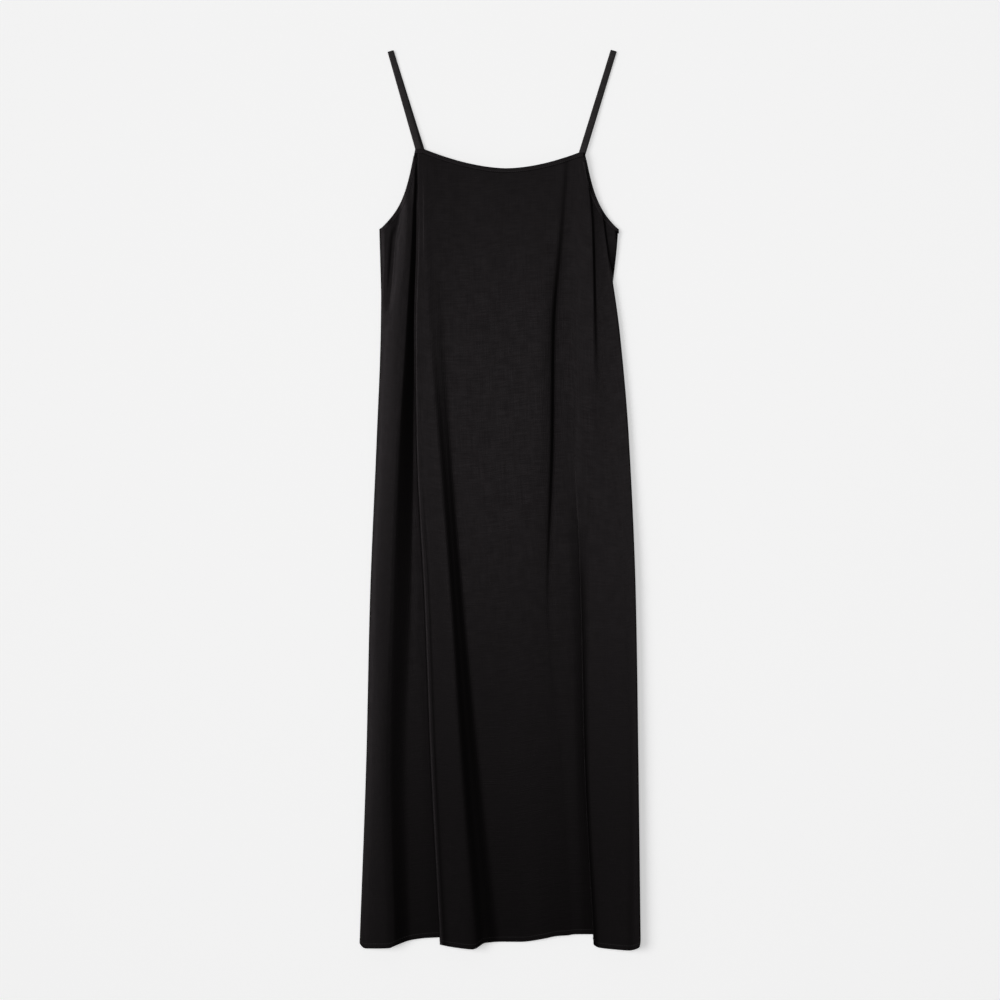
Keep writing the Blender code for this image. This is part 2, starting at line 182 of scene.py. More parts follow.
# The front's outer face. Levels: yoke, underarm, bust, waist, thigh, knee, hem.
FRONT_LINES = fold_lines(
    ("seam_left", (-177, -173.2, -171, -172, -178, -183, -190),
     (4.4, 4.8, 0.92, 0.92, 0.92, 0.92, 0.92), -641),
    ("side_left", (-169, -171, -172.7, -178.5, -188.2, -193.6, -203.2), (5, 6, 5.2, 5.2, 5.2, 5, 4.8), -641),
    ("roll_left_out", (-146, -151, -164.2, -173, -181.5, -187, -195),
     (6.5, 6.8, 8.8, 8.6, 8.8, 8.2, 7.2), -648.5),
    ("roll_left_crest", (-131, -133.5, -145, -151.5, -160, -167.5, -160),
     (8.3, 10.4, 13, 13.8, 13, 12.4, 13.2), -647),
    ("roll_left_in", (-124.4, -127.6, -136.6, -145.5, -154.5, -159.5, -153),
     (8.6, 10.1, 12.6, 13.2, 12.4, 11.6, 12.8), -644.3),
    ("roll_left_foot", (-121.6, -122.8, -125.8, -125.4, -128, -134.2, -128),
     (8.6, 7.6, 6.6, 5.2, 5.4, 5.8, 5.5), -636.5),
    ("trough_left", (-120.2, -120.6, -124.1, -122.6, -121, -112, -103),
     (8.2, 6.6, 5.8, 4.8, 5.1, 5.1, 5), -633.5),
    ("pleat_foot", (-119.4, -118.4, -120.8, -117, -104.5, -95, -81),
     (8.2, 6.6, 5.8, 4.2, 3.4, 3.3, 3.3), -633),
    ("pleat_edge", (-118.6, -117.9, -122.6, -121.3, -110.1, -101.1, -87.1),
     (8.8, 8.8, 8.9, 8.8, 9, 9, 8.4), -642.2),
    ("pleat_lip", (-116, -115.2, -118.8, -116.8, -104.8, -95.9, -82.2),
     (9.2, 9.5, 10.5, 10.85, 11.35, 11.3, 10.5), -643.4),
    ("pleat_dip", (-113, -112, -113.8, -111.4, -99, -90.2, -76.4),
     (9.2, 9.4, 10.3, 10.6, 10.7, 10.6, 9.9), -644.8),
    ("pleat_crest", (-110, -108.5, -103.5, -92, -74, -60, -40),
     (9.2, 10, 10.5, 11.2, 12.6, 13.2, 14.3), -648.6),
    ("pleat_flank", (-100, -97, -91, -79.5, -62.5, -44, -20.5), (8.8, 9.2, 9.3, 8.8, 9.6, 8.6, 9.2), -640),
    ("pleat_toe", (-87, -82, -75, -67.5, -49, -26, 2.5), (8, 8.3, 7.7, 6.9, 6.4, 4.4, 4.2), -639.3),
    ("centre_left", (-44, -44, -40, -34, -14, 6, 30), (6.5, 6.8, 7.2, 6.8, 6.3, 4.6, 4.6), -639.4),
    ("centre", (11, 8, 11, 14, 27, 43, 64), (6, 6.8, 7.2, 7.4, 6.6, 5.6, 6.2), -634.6),
    ("centre_right", (69, 61, 55, 50, 48, 62, 82), (6.8, 7.6, 8.6, 8.4, 6.6, 5.6, 5.8), -631),
    ("crease", (93, 83, 74.6, 72.9, 65.5, 84, 100), (7.8, 7.8, 7.4, 7.3, 6.3, 5.2, 5.2), -629.8),
    ("crease_fold", (102, 93, 79.4, 78, 71.5, 92, 106), (7.3, 6.6, 5.7, 5.6, 5.8, 5, 5), -628.6),
    ("gore", (109, 102, 93, 94, 101, 108, 118), (7.6, 6.4, 5, 5, 5.4, 5.4, 5.2), -628.3),
    ("tuck_foot", (113.5, 110, 104, 106, 119.4, 124.8, 138.4), (8.2, 6.8, 4.8, 4.8, 3.6, 3.4, 3.4), -629),
    ("tuck_edge", (117, 118, 113, 109, 116.4, 121.6, 135), (8.7, 7.8, 5.2, 4.8, 7, 7.1, 7.2), -640.8),
    ("shoulder_right", (121, 132.4, 134.4, 131, 127.4, 129, 142.6),
     (9.1, 8.9, 7.8, 6, 5.8, 5.6, 5.6), -647.5),
    ("cleft_right", (124.5, 136.9, 142, 152, 176, 186, 185.5), (7.4, 7, 6.8, 6.4, 10.6, 12.4, 12.8), -650.5),
    ("roll_right_crest", (130, 146.5, 158, 168, 185, 191, 192.5),
     (6.2, 6.6, 7.1, 7.5, 11.4, 12.8, 13.4), -649.5),
    ("roll_right_out", (137, 150.9, 172.2, 185, 194.8, 198.5, 201.6),
     (5.4, 6.6, 8, 9.4, 13.4, 14.4, 15.2), -644.5),
    ("side_right", (145, 153.4, 173.6, 186.5, 196.4, 200, 203.2),
     (4.6, 5.2, 6.6, 8, 11.6, 12.6, 13.2), -635),
    ("seam_right", (174, 170.9, 158, 168, 180, 183, 186), (4.4, 4.8, 0.92, 0.92, 0.92, 0.92, 0.92), -636),
)

# The back's underside, which lies on the floor between the low folds that follow the front's.
BACK_LINES = fold_lines(
    ("seam_left", (-177, -174.6, -171.5, -172, -178, -183, -190), (1, 2.9, 0, 0, 0, 0, 0), -639),
    ("fold_left", (-150, -150, -149, -152, -161, -166, -168), (0, 0, 1.5, 2.5, 3, 3, 2.5), -638),
    ("fold_left_foot", (-130, -132, -134, -136, -144, -149, -146), (0, 0, 0, 0, 0, 0, 0), -634),
    ("fold_middle_start", (-112, -112, -111, -106, -95, -83, -70), (0, 0, 0, 0, 0, 0, 0), -630),
    ("fold_middle", (-98, -98, -99, -93, -80, -65, -50), (0, 0, 1, 1.5, 2.5, 3, 3), -635),
    ("fold_middle_foot", (-82, -82, -84, -76, -60, -42, -24), (0, 0, 0, 0, 0, 0, 0), -634),
    ("centre", (-10, -10, -6, 0, 10, 20, 35), (0, 0, 0, 0, 0, 0, 0), -632),
    ("centre_right", (55, 55, 60, 65, 72, 82, 95), (0, 0, 0, 0, 0, 0, 0), -626),
    ("fold_right_start", (108, 112, 118, 123, 129, 138, 150), (0, 0, 0, 0, 0, 0, 0), -626),
    ("fold_right", (135, 138, 138, 146, 153, 160, 168), (0, 0, 1.5, 2, 2.5, 3, 4), -638),
    ("seam_right", (174, 170.9, 158, 168, 180, 183, 186), (1, 2.9, 0, 0, 0, 0, 0), -635),
)

FRONT_CREASES = (
    Crease(
        "underarm_left",
        ((-141, 450), (-146.5, 400), (-152.6, 378), (-155.2, 340), (-157, 308), (-161, 272)),
        width=3.8,
        depth=2.1,
    ),
    Crease("underarm_rim", ((-161, 425), (-164.5, 392), (-166, 340), (-169, 285)), width=3.0, depth=-2.6),
    Crease("yoke_ease_left", ((-121.5, 500), (-122.5, 465), (-123.5, 425)), width=4.0, depth=-1.2),
)


# --- Curves ---


def read_curve(knots: Sequence[float], values: Array, at: Array) -> Array:
    """Read a smooth curve that never swings past the values it goes through.

    Args:
        knots: Places where the curve's values are given, rising.
        values: One value for each knot, or a row of them for each place in `at`.
        at: Places to read the curve at.

    Returns:
        The curve's value at each place.
    """
    knots = np.asarray(knots, float)
    at = np.asarray(at, float)
    values = np.broadcast_to(np.asarray(values, float), (len(at), len(knots)))
    rate = np.diff(values, axis=-1) / np.diff(knots)
    before, after = rate[:, :-1], rate[:, 1:]
    turning = before * after <= 0
    inner = np.where(turning, 0.0, 2 * before * after / np.where(turning, 1.0, before + after))
    slopes = np.concatenate([rate[:, :1], inner, rate[:, -1:]], axis=-1)
    at = np.clip(at, knots[0], knots[-1])
    start = np.clip(np.searchsorted(knots, at, side="right") - 1, 0, len(knots) - 2)
    rows = np.arange(len(at))
    span = knots[start + 1] - knots[start]
    t = (at - knots[start]) / span
    rising = t * t * (3 - 2 * t)
    return (
        values[rows, start] * (1 - rising)
        + values[rows, start + 1] * rising
        + slopes[rows, start] * span * t * (1 - t) ** 2
        - slopes[rows, start + 1] * span * t * t * (1 - t)
    )


def ease(t: Array) -> Array:
    """A smooth step from 0 to 1."""
    t = np.clip(t, 0.0, 1.0)
    return t * t * (3 - 2 * t)


def lengths_along(points: Array, axis: int = 0) -> Array:
    """Lengths run from the first point to each, along one axis of a grid of points."""
    steps = np.linalg.norm(np.diff(points, axis=axis), axis=-1)
    return np.concatenate([np.zeros_like(steps.take([0], axis)), np.cumsum(steps, axis)], axis)


# --- Colour and nodes ---


def linear(hex_colour: str) -> tuple[float, float, float, float]:
    """Turn an sRGB hex colour into the linear colour that shaders take.

    Args:
        hex_colour: Six hex digits, with or without a leading #.

    Returns:
        Linear red, green and blue, and an alpha of 1.
    """
    channels = [part / 255 for part in bytes.fromhex(hex_colour.lstrip("#"))]
    red, green, blue = (c / 12.92 if c <= 0.04045 else ((c + 0.055) / 1.055) ** 2.4 for c in channels)
    return red, green, blue, 1.0


def set_inputs(node: Node, inputs: dict[Any, Any]) -> None:
    """Set a node's inputs.

    Args:
        node: The node.
        inputs: For each input's name or index, a value, or a socket or a node's first output to link.
    """
    for name, value in inputs.items():
        if isinstance(value, Node):
            value = value.outputs[0]
        if isinstance(value, NodeSocket):
            node.id_data.links.new(value, node.inputs[name])
        else:
            node.inputs[name].default_value = value


def add_node(
    tree: NodeTree, kind: str, inputs: Optional[dict[Any, Any]] = None, **settings: Any
) -> Node:
    """Add a node to a tree.

    Args:
        tree: The tree that takes the node.
        kind: The node's type name.
        inputs: The node's inputs, as set_inputs takes them.
        **settings: Properties to set on the node.

    Returns:
        The new node.
    """
    node = tree.nodes.new(kind)
    for name, value in settings.items():
        setattr(node, name, value)
    set_inputs(node, inputs or {})
    return node


def start_material(name: str) -> tuple[Material, Node]:
    """Add a material.

    Args:
        name: The material's name.

    Returns:
        The material and its shader.
    """
    material = bpy.data.materials.new(name)
    material.use_nodes = True
    return material, material.node_tree.nodes["Principled BSDF"]


@dataclass(frozen=True)
class WovenSatin:
    """Black viscose satin, woven with slubbed yarns and washed.

    Gives a near black with a low, broad sheen that is brightest where the cloth leans to the light, and a
    fine mottle of slubs along both threads.
    """

    name: str
    colour: str = "#060505"
    slub_colour: str = "#090808"
    roughness: float = 0.40
    specular: float = 0.11
    tint: tuple[float, float, float] = (1.0, 0.885, 0.94)
    # Real threads are 0.25 mm apart; this is as fine as still shows.
    thread_mm: float = 1.3
    slub_length_mm: float = 26.0
    slub_width_mm: float = 1.6
    mottle_mm: float = 14.0
    warp_stretch: float = 1.6
    mottle_stretch: float = 1.4
    weft_share: float = 1.4
    slub_share: float = 0.42
    mottle_share: float = 0.36
    shade_range: tuple[float, float] = (0.48, 0.84)
    weave_relief: float = 0.25
    bump_mm: float = 0.25

    def grain(self, place: Node, size_mm: tuple[float, float], detail: float) -> Node:
        """Noise whose grain has the given size across and along the cloth.

        Args:
            place: Cloth coordinates, in metres.
            size_mm: Grain size across and along the cloth.
            detail: Octaves of finer grain.

        Returns:
            The noise.
        """
        tree = place.id_data
        scale = (1000 / size_mm[0], 1000 / size_mm[1], 1.0)
        mapping = add_node(tree, "ShaderNodeMapping", {"Vector": place, "Scale": scale})
        look = {"Vector": mapping, "Scale": 1.0, "Detail": detail, "Roughness": 0.55}
        return add_node(tree, "ShaderNodeTexNoise", look, noise_dimensions="2D")

    def make(self) -> Material:
        """Build the material.

        Returns:
            The new material.
        """
        material, shader = start_material(self.name)
        tree = material.node_tree
        place = add_node(tree, "ShaderNodeUVMap", uv_map="cloth")
        weft = self.grain(place, (self.slub_length_mm, self.slub_width_mm), 2.0)
        warp = self.grain(place, (self.slub_width_mm, self.slub_length_mm * self.warp_stretch), 2.0)
        mottle = self.grain(place, (self.mottle_mm, self.mottle_mm * self.mottle_stretch), 3.0)
        sums = {0: weft, 1: self.weft_share, 2: warp}
        slubs = add_node(tree, "ShaderNodeMath", sums, operation="MULTIPLY_ADD")
        faint = add_node(tree, "ShaderNodeMath", {0: mottle, 1: self.mottle_share}, operation="MULTIPLY")
        sums = {0: slubs, 1: self.slub_share, 2: faint}
        shade = add_node(tree, "ShaderNodeMath", sums, operation="MULTIPLY_ADD")
        low, high = self.shade_range
        tone = add_node(tree, "ShaderNodeMapRange", {"Value": shade, "From Min": low, "From Max": high})
        colours = {"Factor": tone, 6: linear(self.colour), 7: linear(self.slub_colour)}
        colour = add_node(tree, "ShaderNodeMix", colours, data_type="RGBA")
        gloss = {"Value": tone, "To Min": self.roughness + 0.05, "To Max": self.roughness - 0.05}
        rough = add_node(tree, "ShaderNodeMapRange", gloss)
        # A wave of scale 1 is pi / 10 m long, and each half of it is a thread.
        waves = 1000 / self.thread_mm / 20 * math.pi
        look = {"Vector": place, "Scale": waves, "Distortion": 1.2, "Detail": 1.0}
        threads = [
            add_node(tree, "ShaderNodeTexWave", look, bands_direction=direction).outputs[1]
            for direction in ("X", "Y")
        ]
        weave = add_node(tree, "ShaderNodeMath", dict(enumerate(threads)), operation="MULTIPLY")
        sums = {0: weave, 1: self.weave_relief, 2: shade}
        relief = add_node(tree, "ShaderNodeMath", sums, operation="MULTIPLY_ADD")
        height = {"Height": relief, "Strength": 0.6, "Distance": self.bump_mm * MM}
        finish = {
            "Base Color": colour.outputs[2],
            "Roughness": rough,
            "Normal": add_node(tree, "ShaderNodeBump", height),
            "Specular IOR Level": self.specular,
            "Specular Tint": (*self.tint, 1.0),
        }
        set_inputs(shader, finish)
        return material


@dataclass(frozen=True)
class SewingThread:
    """Black spun polyester thread, matt, a shade lighter than the cloth it sinks into."""

    name: str
    colour: str = "#121011"
    roughness: float = 0.6
    twist_scale: float = 1500.0

    def make(self) -> Material:
        """Build the material.

        Returns:
            The new material.
        """
        material, shader = start_material(self.name)
        tree = material.node_tree
        place = add_node(tree, "ShaderNodeTexCoord").outputs["Object"]
        look = {"Vector": place, "Scale": self.twist_scale, "Detail": 1.0}
        twist = add_node(tree, "ShaderNodeTexNoise", look)
        gloss = {"Value": twist, "To Min": self.roughness - 0.1, "To Max": self.roughness + 0.1}
        rough = add_node(tree, "ShaderNodeMapRange", gloss)
        set_inputs(shader, {"Roughness": rough, "Base Color": linear(self.colour)})
        return material


# --- Panels ---


def add_object(name: str, data: ID, material: Optional[Material] = None) -> Object:
    """Put a new object in the scene, at the origin.

    Args:
        name: The object's name.
        data: Its mesh, curve, lamp or camera.
        material: The finish of its mesh.

    Returns:
        The object.
    """
    if material:
        data.materials.append(material)
    thing = bpy.data.objects.new(name, data)
    bpy.context.scene.collection.objects.link(thing)
    return thing


def plain_mesh(thing: Object) -> Mesh:
    """The mesh that an object's modifiers make of it."""
    graph = bpy.context.evaluated_depsgraph_get()
    return bpy.data.meshes.new_from_object(thing.evaluated_get(graph))


def make_wall(
    name: str,
    grid: Array,
    cloth: Array,
    thickness: float,
    side: int,
    material: Material,
    even_corners: bool = True,
) -> Object:
    """Make a closed cloth wall from a grid of points.

    Args:
        name: The piece's name.
        grid: Rows of points in mm, whose faces look up where rows run towards the hem.
        cloth: For each point, its place on the flat cloth in metres. It has one more column than the grid
            where the sheet closes into a tube.
        thickness: The wall's thickness.
        side: -1 where the wall lies behind the sheet's face, 1 in front.
        material: The cloth's finish.
        even_corners: Whether the wall keeps its thickness at sharp turns.

    Returns:
        The piece.
    """
    rows, columns = cloth.shape[:2]
    around = grid.shape[1]
    first = (np.arange(rows - 1)[:, None] * columns + np.arange(columns - 1)).ravel()
    corners = np.stack([first, first + columns, first + columns + 1, first + 1], axis=-1)
    faces = corners // columns * around + corners % columns % around
    mesh = bpy.data.meshes.new(name)
    mesh.from_pydata(((grid - BOX_MIDDLE) * MM).reshape(-1, 3).tolist(), [], faces.tolist())
    layer = mesh.uv_layers.new(name="cloth")
    layer.data.foreach_set("uv", cloth.reshape(-1, 2)[corners.ravel()].astype(np.float32).ravel())
    mesh.shade_smooth()
    piece = add_object(name, mesh, material)
    wall = piece.modifiers.new("wall", "SOLIDIFY")
    wall.thickness = thickness * MM
    wall.offset = side
    wall.use_quality_normals = even_corners
    solid = plain_mesh(piece)
    piece.modifiers.clear()
    piece.data = solid
    bpy.data.meshes.remove(mesh)
    solid.name = name
    return piece


def cloth_places(grid: Array, middle: int) -> Array:
    """Places of a grid's points on the flat cloth, in metres, measured across from its middle column."""
    across, along = lengths_along(grid, 1), lengths_along(grid)
    return np.stack([across - across[:, middle : middle + 1], along - along[-1:]], axis=-1) * MM


@dataclass
class Panel:
    """A panel: one sheet of cloth through its fold lines, with small creases and a turned hem."""

    name: str
    lines: tuple[FoldLine, ...]
    is_back: bool
    creases: tuple[Crease, ...] = ()
    thickness: float = 0.8
    column_width: float = 2.9
    row_length: float = 4.6
    edge_lift: float = 0.0
    edge_lift_start: float = 10.0
    edge_lift_reach: float = 26.0
    edge_slope: float = 0.4
    hem_step: float = 0.08
    hem_step_run: tuple[float, float] = (6.4, 7.2)
    edge_rows: tuple[float, ...] = (0.0, 1.2, 2.6, 4.2, 6.0, 8.0)
    hem_rows: tuple[float, ...] = (9.6, 8.2, 7.3, 6.7, 5.6, 4.0, 2.2, 0.8, 0.0)
    grid: Array = field(init=False)
    cloth: Array = field(init=False)

    def section(self, u: Array, y: Array) -> tuple[Array, Array]:
        """Points of the sheet across the dress.

        Args:
            u: Fold-line positions, 0 at the left seam.
            y: Places along the dress.

        Returns:
            The x and the z of each point.
        """
        levels = sorted(LEVELS.values())
        across = np.stack([read_curve(levels, line.across[::-1], y) for line in self.lines], axis=-1)
        height = np.stack([read_curve(levels, line.height[::-1], y) for line in self.lines], axis=-1)
        knots = np.arange(len(self.lines))
        return read_curve(knots, across, u), read_curve(knots, height, u)

    def top_y(self, u: Array) -> Array:
        """Where each line starts on the top edge, found by halving.

        Args:
            u: Fold-line positions.

        Returns:
            The y of each line's top end.
        """
        low = np.full(u.shape, float(LEVELS["underarm"]))
        high = np.full(u.shape, LEVELS["yoke"] + 10.0)
        for _ in range(26):
            middle = (low + high) / 2
            x = self.section(u, middle)[0]
            left, right = (side.armhole_x(middle, self.is_back) for side in (LEFT, RIGHT))
            inside = (x >= left) & (x <= right) & (middle <= NECKLINE.edge_y(x, self.is_back))
            low, high = np.where(inside, middle, low), np.where(inside, high, middle)
        low[[0, -1]] = LEVELS["underarm"]
        return low

    def columns(self) -> Array:
        """Place the mesh's columns, evenly spaced between lines along the hem.

        Returns:
            The columns' fold-line positions.
        """
        ends = np.array([(line.across[-1], line.height[-1]) for line in self.lines], float)
        positions = [0.0]
        for index, reach in enumerate(np.hypot(*np.diff(ends, axis=0).T)):
            parts = max(4, round(reach / self.column_width))
            positions += [index + (part + 1) / parts for part in range(parts)]
        return np.array(positions)

    def edge_distance(self, x: Array, y: Array) -> Array:
        """Measure roughly how far plan points are from the bound edge.

        Args:
            x: Plan x of each point.
            y: Plan y of each point.

        Returns:
            The distances.
        """
        slant = math.hypot(1, self.edge_slope)
        left, right = (side.armhole_x(y, self.is_back) for side in (LEFT, RIGHT))
        beside = np.minimum(x - left, right - x) / slant
        sides = np.hypot(np.maximum(beside, 0.0), np.maximum(LEVELS["underarm"] - y, 0.0))
        return np.minimum(sides, np.maximum(NECKLINE.edge_y(x, self.is_back) - y, 0.0))

    def shape(self) -> None:
        """Work out the sheet's points and their places on the flat cloth."""
        u = self.columns()
        top = self.top_y(u)
        hem = read_curve(np.arange(len(self.lines)), [line.hem for line in self.lines], u)
        edge, foot = np.array(self.edge_rows), np.array(self.hem_rows)
        middle_rows = round((LEVELS["yoke"] - LEVELS["hem"]) / self.row_length)
        fraction = np.linspace(0, 1, middle_rows + 1)[1:-1, None]
        start, end = top - edge[-1], hem + foot[0]
        y = np.concatenate([top - edge[:, None], start + (end - start) * fraction, hem + foot[:, None]])
        rows = len(y)
        across = np.broadcast_to(u, y.shape)
        x, z = (part.reshape(rows, -1) for part in self.section(across.ravel(), y.ravel()))
        if self.edge_lift:
            far = (self.edge_distance(x, y) - self.edge_lift_start) / self.edge_lift_reach
            z = z + self.edge_lift * (1 - ease(far))
        for crease in self.creases:
            z = z + crease.height(x, y)
        low, high = self.hem_step_run
        z = z + self.hem_step * (1 - ease((y - hem - low) / (high - low)))
        self.grid = np.stack([x, y, z], axis=-1)
        self.cloth = cloth_places(self.grid, int(np.argmin(np.abs(u - len(self.lines) / 2))))

    def build(self, material: Material) -> Object:
        """Make the panel.

        Args:
            material: The cloth's finish.

        Returns:
            The panel's piece.
        """
        self.shape()
        side = 1 if self.is_back else -1
        piece = make_wall(self.name, self.grid, self.cloth, self.thickness, side, material)
        width, length = (float(np.ptp(self.cloth[..., axis])) for axis in (0, 1))
        LOG.info("%s: cut %.3f x %.3f m, %.3f m2", self.name, width, length, self.cut_area())
        return piece

    def row_above_hem(self, inset: float) -> Array:
        """Points of the sheet's outer face along the hem, about inset from its edge."""
        from_hem = np.abs(self.cloth[:, self.cloth.shape[1] // 2, 1]) / MM
        return self.grid[int(np.argmin(np.abs(from_hem - inset)))]

    def cut_area(self) -> float:
        """Area of the flat cut, in square metres."""
        cells = np.cross(np.diff(self.grid, axis=0)[:, :-1], np.diff(self.grid, axis=1)[:-1])
        return float(np.linalg.norm(cells, axis=-1).sum()) * MM * MM


# --- Trims ---


@dataclass
class Surface:
    """Finds places on a laid piece, whose outer face looks one way."""

    piece: Object
    thickness: float = 0.0
    face: Face = Face.UP
    ray_start: float = 200.0
    inside: float = 4.0
    tree: BVHTree = field(init=False)

    def __post_init__(self) -> None:
        """Sort the piece's faces for searching."""
        mesh = self.piece.data
        corners = [vertex.co.copy() for vertex in mesh.vertices]
        self.tree = BVHTree.FromPolygons(corners, [tuple(face.vertices) for face in mesh.polygons])

    def height(self, x: float, y: float) -> float:
        """Height of the outer face over a plan point.

        Args:
            x: Plan x.
            y: Plan y.

        Returns:
            The height.
        """
        place = (np.array([x, y, 0.0]) - BOX_MIDDLE) * MM
        origin = Vector((place[0], place[1], self.ray_start * MM * self.face.value))
        hit = self.tree.ray_cast(origin, Vector((0, 0, -self.face.value)))[0]
        if hit is None:
            hit = self.tree.find_nearest(Vector((place[0], place[1], self.inside * MM)))[0]
        return hit.z / MM

    def path_beside(self, edge: Array, turn: int, inset: float) -> Array:
        """Points on the outer face beside an edge, whose cloth lies as inward_of says."""
        plan = edge + inset * inward_of(edge, turn)
        return np.array([(x, y, self.height(x, y)) for x, y in plan])


def inward_of(edge: Array, turn: int) -> Array:
    """Unit plan vectors from an edge into its cloth.

    Args:
        edge: Plan points along the edge.
        turn: 1 where the cloth lies to the left of the edge's run, -1 to the right.

    Returns:
        A vector for each point.
    """
    way = np.gradient(edge, axis=0)
    way /= np.linalg.norm(way, axis=1, keepdims=True)
    return turn * np.stack([-way[:, 1], way[:, 0]], axis=-1)


@dataclass
class EdgeBand:
    """A narrow strip that binds an edge: over the outer face, round the raw edge and under the inner face.

    Its outer rows lie at shares of its width, and the last two of them close to the edge.
    """

    name: str
    width: float = 6.2
    inner_width: float = 5.0
    thickness: float = 0.34
    gap: float = 0.12
    sunk: float = 0.18
    shares: tuple[float, ...] = (1.0, 0.82, 0.55, 0.28)
    near_edge: tuple[float, float] = (0.9, 0.25)
    bulge: float = 0.35
    turn_shares: tuple[float, ...] = (0.3, 0.5, 0.7)
    settle_from: float = 0.72
    corner_stations: int = 3
    corner_bulge: tuple[float, float] = (0.9, 0.35)
    station_gap: float = 2.4

    def station(self, surface: Surface, edge: Array, inward: Array) -> Array:
        """Points across the band at one place on the edge, from its outer side to its inner side.

        Args:
            surface: The panel that is bound.
            edge: Plan point on the panel's edge.
            inward: Unit plan vector from the edge into the panel.

        Returns:
            The points.
        """
        face, last = surface.face.value, self.near_edge[1]
        points = []
        for distance in (*(self.width * share for share in self.shares), *self.near_edge):
            x, y = edge + inward * distance
            sunk = self.sunk if distance == self.width else 0.0
            points.append((x, y, surface.height(x, y) + face * (self.gap - sunk)))
        outer_z = surface.height(*(edge + inward * last))
        middle = outer_z - face * surface.thickness / 2
        reach = surface.thickness / 2 + self.gap
        for part in self.turn_shares:
            round_edge = edge - inward * (self.bulge * math.sin(math.pi * part))
            points.append((*round_edge, middle + face * reach * math.cos(math.pi * part)))
        for distance in (last, self.inner_width * 0.5, self.inner_width):
            x, y = edge + inward * distance
            points.append((x, y, surface.height(x, y) - face * (surface.thickness + self.gap)))
        return np.array(points)

    def edge_stations(
        self, surface: Surface, edge: Array, turn: int, end_inward: Optional[Array] = None
    ) -> list[Array]:
        """Stations along an edge.

        Args:
            surface: The panel that is bound.
            edge: Plan points along the edge.
            turn: 1 where the panel lies to the left of the edge's run, -1 to the right.
            end_inward: Inward vector that the last stations turn to.

        Returns:
            Each station's points.
        """
        inward = inward_of(edge, turn)
        if end_inward is not None:
            past = np.linspace(0, 1, len(edge)) - self.settle_from
            settle = ease(past / (1 - self.settle_from))[:, None]
            inward = inward * (1 - settle) + end_inward * settle
            inward /= np.linalg.norm(inward, axis=1, keepdims=True)
        return [self.station(surface, point, way_in) for point, way_in in zip(edge, inward)]

    def wall(self, stations: list[Array], flip: bool, material: Material) -> Object:
        """Make the band from its stations, which flip where they run with the panel to their left."""
        grid = np.stack(stations[::-1] if flip else stations, axis=1)
        return make_wall(self.name, grid, cloth_places(grid, 0), self.thickness, 1, material)


# Points that an edge is sampled at, and how far the neck's edge stops short of a strap joint.
EDGE_SAMPLES = 400
JOINT_GAP = 0.3


def even_points(points: Array, spacing: float) -> Array:
    """Points evenly spaced along a line of points.

    Args:
        points: The line's points.
        spacing: Distance between the new points, about.

    Returns:
        The new points, with both ends kept.
    """
    along = lengths_along(points)
    count = max(2, round(along[-1] / spacing) + 1)
    at = np.linspace(0, along[-1], count)
    return np.stack([np.interp(at, along, points[:, axis]) for axis in range(points.shape[1])], axis=-1)


def neck_edge(is_back: bool, spacing: float) -> Array:
    """Plan points along a neckline, from the left strap joint to the right one.

    Args:
        is_back: Whether the back's edge is asked for.
        spacing: Distance between points.

    Returns:
        The points.
    """
    start = float(LEFT.armhole_x(np.array(LEFT.joint[1]), is_back))
    end = float(RIGHT.armhole_x(np.array(RIGHT.joint[1]), is_back))
    x = np.linspace(start + JOINT_GAP, end - JOINT_GAP, EDGE_SAMPLES)
    return even_points(np.stack([x, NECKLINE.edge_y(x, is_back)], axis=-1), spacing)


def armhole_edge(side: Side, is_back: bool, start_drop: float, spacing: float) -> Array:
    """Plan points along an armhole, from start_drop below the strap joint to the underarm."""
    y = np.linspace(side.joint[1] - start_drop, side.underarm[1], EDGE_SAMPLES)
    return even_points(np.stack([side.armhole_x(y, is_back), y], axis=-1), spacing)


def build_neck_band(band: EdgeBand, surface: Surface, material: Material) -> Object:
    """Make the band of a neckline on the panel that it binds."""
    edge = neck_edge(surface.face is Face.DOWN, band.station_gap)
    return band.wall(band.edge_stations(surface, edge, -1), surface.face is Face.UP, material)


def build_armhole_band(
    side: Side, surfaces: tuple[Surface, Surface], material: Material
) -> Object:
    """Make the band round an armhole: down the front's edge, round the underarm and up the back's.

    Args:
        side: The armhole's side.
        surfaces: The front panel and the back.
        material: The cloth's finish.

    Returns:
        The band's piece.
    """
    band = EdgeBand(f"armhole_binding_{side.name}")
    start_drop = NECKLINE.back_drop + band.width + 1.0
    on_front, on_back = (
        band.edge_stations(
            surface,
            armhole_edge(side, surface.face is Face.DOWN, start_drop, band.station_gap),
            -side.sign,
            np.array([0.0, -1.0]),
        )
        for surface in surfaces
    )
    top, bottom = on_front[-1], on_back[-1]
    corner = []
    for angle in np.linspace(0, math.pi, band.corner_stations + 2)[1:-1]:
        points = (top + bottom) / 2 + (top - bottom) / 2 * math.cos(angle)
        points[:, 0] += side.sign * np.linspace(*band.corner_bulge, len(top)) * math.sin(angle)
        corner.append(points)
    return band.wall(on_front + corner + on_back[::-1], side.sign < 0, material)


